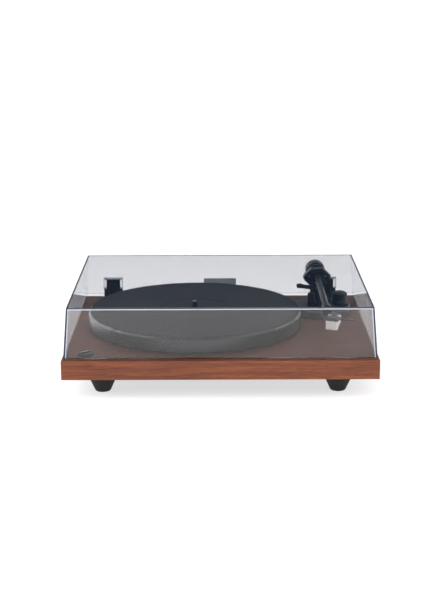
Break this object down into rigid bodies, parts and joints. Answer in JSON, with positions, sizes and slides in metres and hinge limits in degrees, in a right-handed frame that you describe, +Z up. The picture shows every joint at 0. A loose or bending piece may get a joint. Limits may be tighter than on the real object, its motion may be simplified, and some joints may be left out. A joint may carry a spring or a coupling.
{
  "type": "turntable record player",
  "caption": "Belt-drive record player: walnut plinth on cone feet, platter with mat, pivoted tonearm with counterweight, hinged clear dust cover.",
  "frame": {"origin": "on the surface it stands on, under the middle of the plinth", "axes": "+Z up, front towards -Y, tonearm on the +X side, hinges at +Y"},
  "size_m": [0.415, 0.335, 0.1206],
  "materials": {
    "walnut_veneer": "satin veneer",
    "black_hardboard": "painted",
    "black_screws": "black oxide",
    "rubber_feet": "matte",
    "bearing_steel": "turned",
    "bronze_bush": "sintered",
    "nylon_pad": "moulded",
    "polished_steel": "polished",
    "grey_plastic": "moulded",
    "cast_aluminium": "satin turned",
    "rubber_mat": "matte ribbed",
    "belt_rubber": "ground",
    "motor_steel": "zinc plated",
    "brass_pulley": "turned",
    "black_plastic": "satin moulded",
    "board_laminate": "glossy mask",
    "board_components": "moulded",
    "plated_brass": "plated",
    "black_painted_metal": "satin",
    "black_anodised_tube": "semi gloss",
    "painted_weight": "semi gloss",
    "dial_plastic": "satin",
    "ivory_plastic": "moulded",
    "black_rubber_bar": "matte",
    "smoke_acrylic": "clear smoke tint",
    "clear_bumper": "soft",
    "silver_plate": "brushed"
  },
  "bodies": {
    "base": {"plinth": "walnut_veneer", "bottom_cover": "black_hardboard", "cover_screws": "black_screws", "foot_front_left": "rubber_feet", "foot_front_right": "rubber_feet", "foot_rear_left": "rubber_feet", "foot_rear_right": "rubber_feet", "foot_screws": "black_screws", "bearing_housing": "bearing_steel", "bearing_bushes": "bronze_bush", "thrust_pad": "nylon_pad", "wood_screws": "black_screws", "drive_belt": "belt_rubber", "motor_plate": "motor_steel", "motor_case": "motor_steel", "motor_isolators": "belt_rubber", "circuit_board": "board_laminate", "board_parts": "board_components", "rotary_switch": "black_plastic", "jack_panel": "black_plastic", "phono_sockets": "plated_brass", "ground_post": "plated_brass", "power_inlet": "black_plastic", "arm_base": "black_painted_metal", "arm_base_screws": "black_screws", "arm_pillar": "black_painted_metal", "arm_rest": "black_plastic", "lift_housing": "black_plastic", "hinge_bases": "black_plastic", "hinge_pins": "black_screws"},
    "turning_platter": {"platter": "cast_aluminium", "mat": "rubber_mat", "sub_platter": "grey_plastic", "spindle": "polished_steel", "thrust_ball": "polished_steel"},
    "motor_rotor": {"motor_shaft": "polished_steel", "motor_pulley": "brass_pulley"},
    "speed_selector": {"speed_knob": "black_plastic"},
    "yoke": {"arm_yoke": "black_painted_metal", "yoke_shaft": "black_painted_metal", "pivot_screws": "polished_steel"},
    "arm": {"pivot_block": "black_painted_metal", "arm_tube": "black_anodised_tube", "rear_stub": "black_painted_metal", "headshell": "black_anodised_tube", "cartridge_screws": "polished_steel", "cartridge": "ivory_plastic", "stylus_holder": "ivory_plastic", "stylus": "polished_steel", "finger_lift": "black_anodised_tube"},
    "balance_weight": {"counterweight": "painted_weight"},
    "force_scale": {"force_dial": "dial_plastic"},
    "antiskate": {"antiskate_knob": "black_plastic"},
    "rest_clip": {"arm_clip": "black_plastic"},
    "cue_handle": {"cue_lever": "black_plastic"},
    "cue_bar": {"lift_bar": "black_rubber_bar"},
    "dust_cover": {"lid": "smoke_acrylic", "lid_bumpers": "clear_bumper", "hinge_blades": "black_plastic", "nameplate": "silver_plate"}
  },
  "joints": [
    {"name": "platter_spin", "type": "hinge", "parent": "base", "child": "turning_platter", "pos_m": [-0.0357, 0.0079, 0.066], "axis": [0, 0, -1], "continuous": true},
    {"name": "motor_spin", "type": "hinge", "parent": "base", "child": "motor_rotor", "pos_m": [-0.1177, -0.0495, 0.06], "axis": [0, 0, -1], "continuous": true},
    {"name": "speed_select", "type": "hinge", "parent": "base", "child": "speed_selector", "pos_m": [-0.1788, -0.1373, 0.055], "axis": [0, 0, -1], "range_deg": [0, 90]},
    {"name": "arm_swing", "type": "hinge", "parent": "base", "child": "yoke", "pos_m": [0.1435, 0.1, 0.085], "axis": [0, 0, -1], "range_deg": [0, 48]},
    {"name": "arm_lift", "type": "hinge", "parent": "yoke", "child": "arm", "pos_m": [0.1435, 0.1, 0.1], "axis": [-1, 0, 0], "range_deg": [0, 3]},
    {"name": "weight_turn", "type": "hinge", "parent": "arm", "child": "balance_weight", "pos_m": [0.1435, 0.137, 0.1], "axis": [0, 1, 0], "range_deg": [-360, 360]},
    {"name": "force_scale_turn", "type": "hinge", "parent": "balance_weight", "child": "force_scale", "pos_m": [0.1435, 0.124, 0.1], "axis": [0, 1, 0], "continuous": true},
    {"name": "antiskate_turn", "type": "hinge", "parent": "base", "child": "antiskate", "pos_m": [0.1746, 0.072, 0.07], "axis": [0, 0, -1], "range_deg": [0, 270]},
    {"name": "clip_close", "type": "hinge", "parent": "base", "child": "rest_clip", "pos_m": [0.1502, 0.046, 0.1052], "axis": [0, 0, -1], "range_deg": [0, 90]},
    {"name": "cue_raise", "type": "hinge", "parent": "base", "child": "cue_handle", "pos_m": [0.1593, 0.058, 0.073], "axis": [-1, 0, 0], "range_deg": [0, 50]},
    {"name": "cue_bar_slide", "type": "slide", "parent": "base", "child": "cue_bar", "axis": [0, 0, 1], "range_m": [0, 0.0019]},
    {"name": "lid_hinge", "type": "hinge", "parent": "base", "child": "dust_cover", "pos_m": [0, 0.16, 0.062], "axis": [-1, 0, 0], "range_deg": [0, 60]}
  ],
  "couplings": [
    {"joint": "motor_spin", "follows": "platter_spin", "ratio": 12},
    {"joint": "cue_bar_slide", "follows": "arm_lift", "m_per_rad": 0.036286},
    {"joint": "cue_raise", "follows": "arm_lift", "ratio": 16.66}
  ]
}
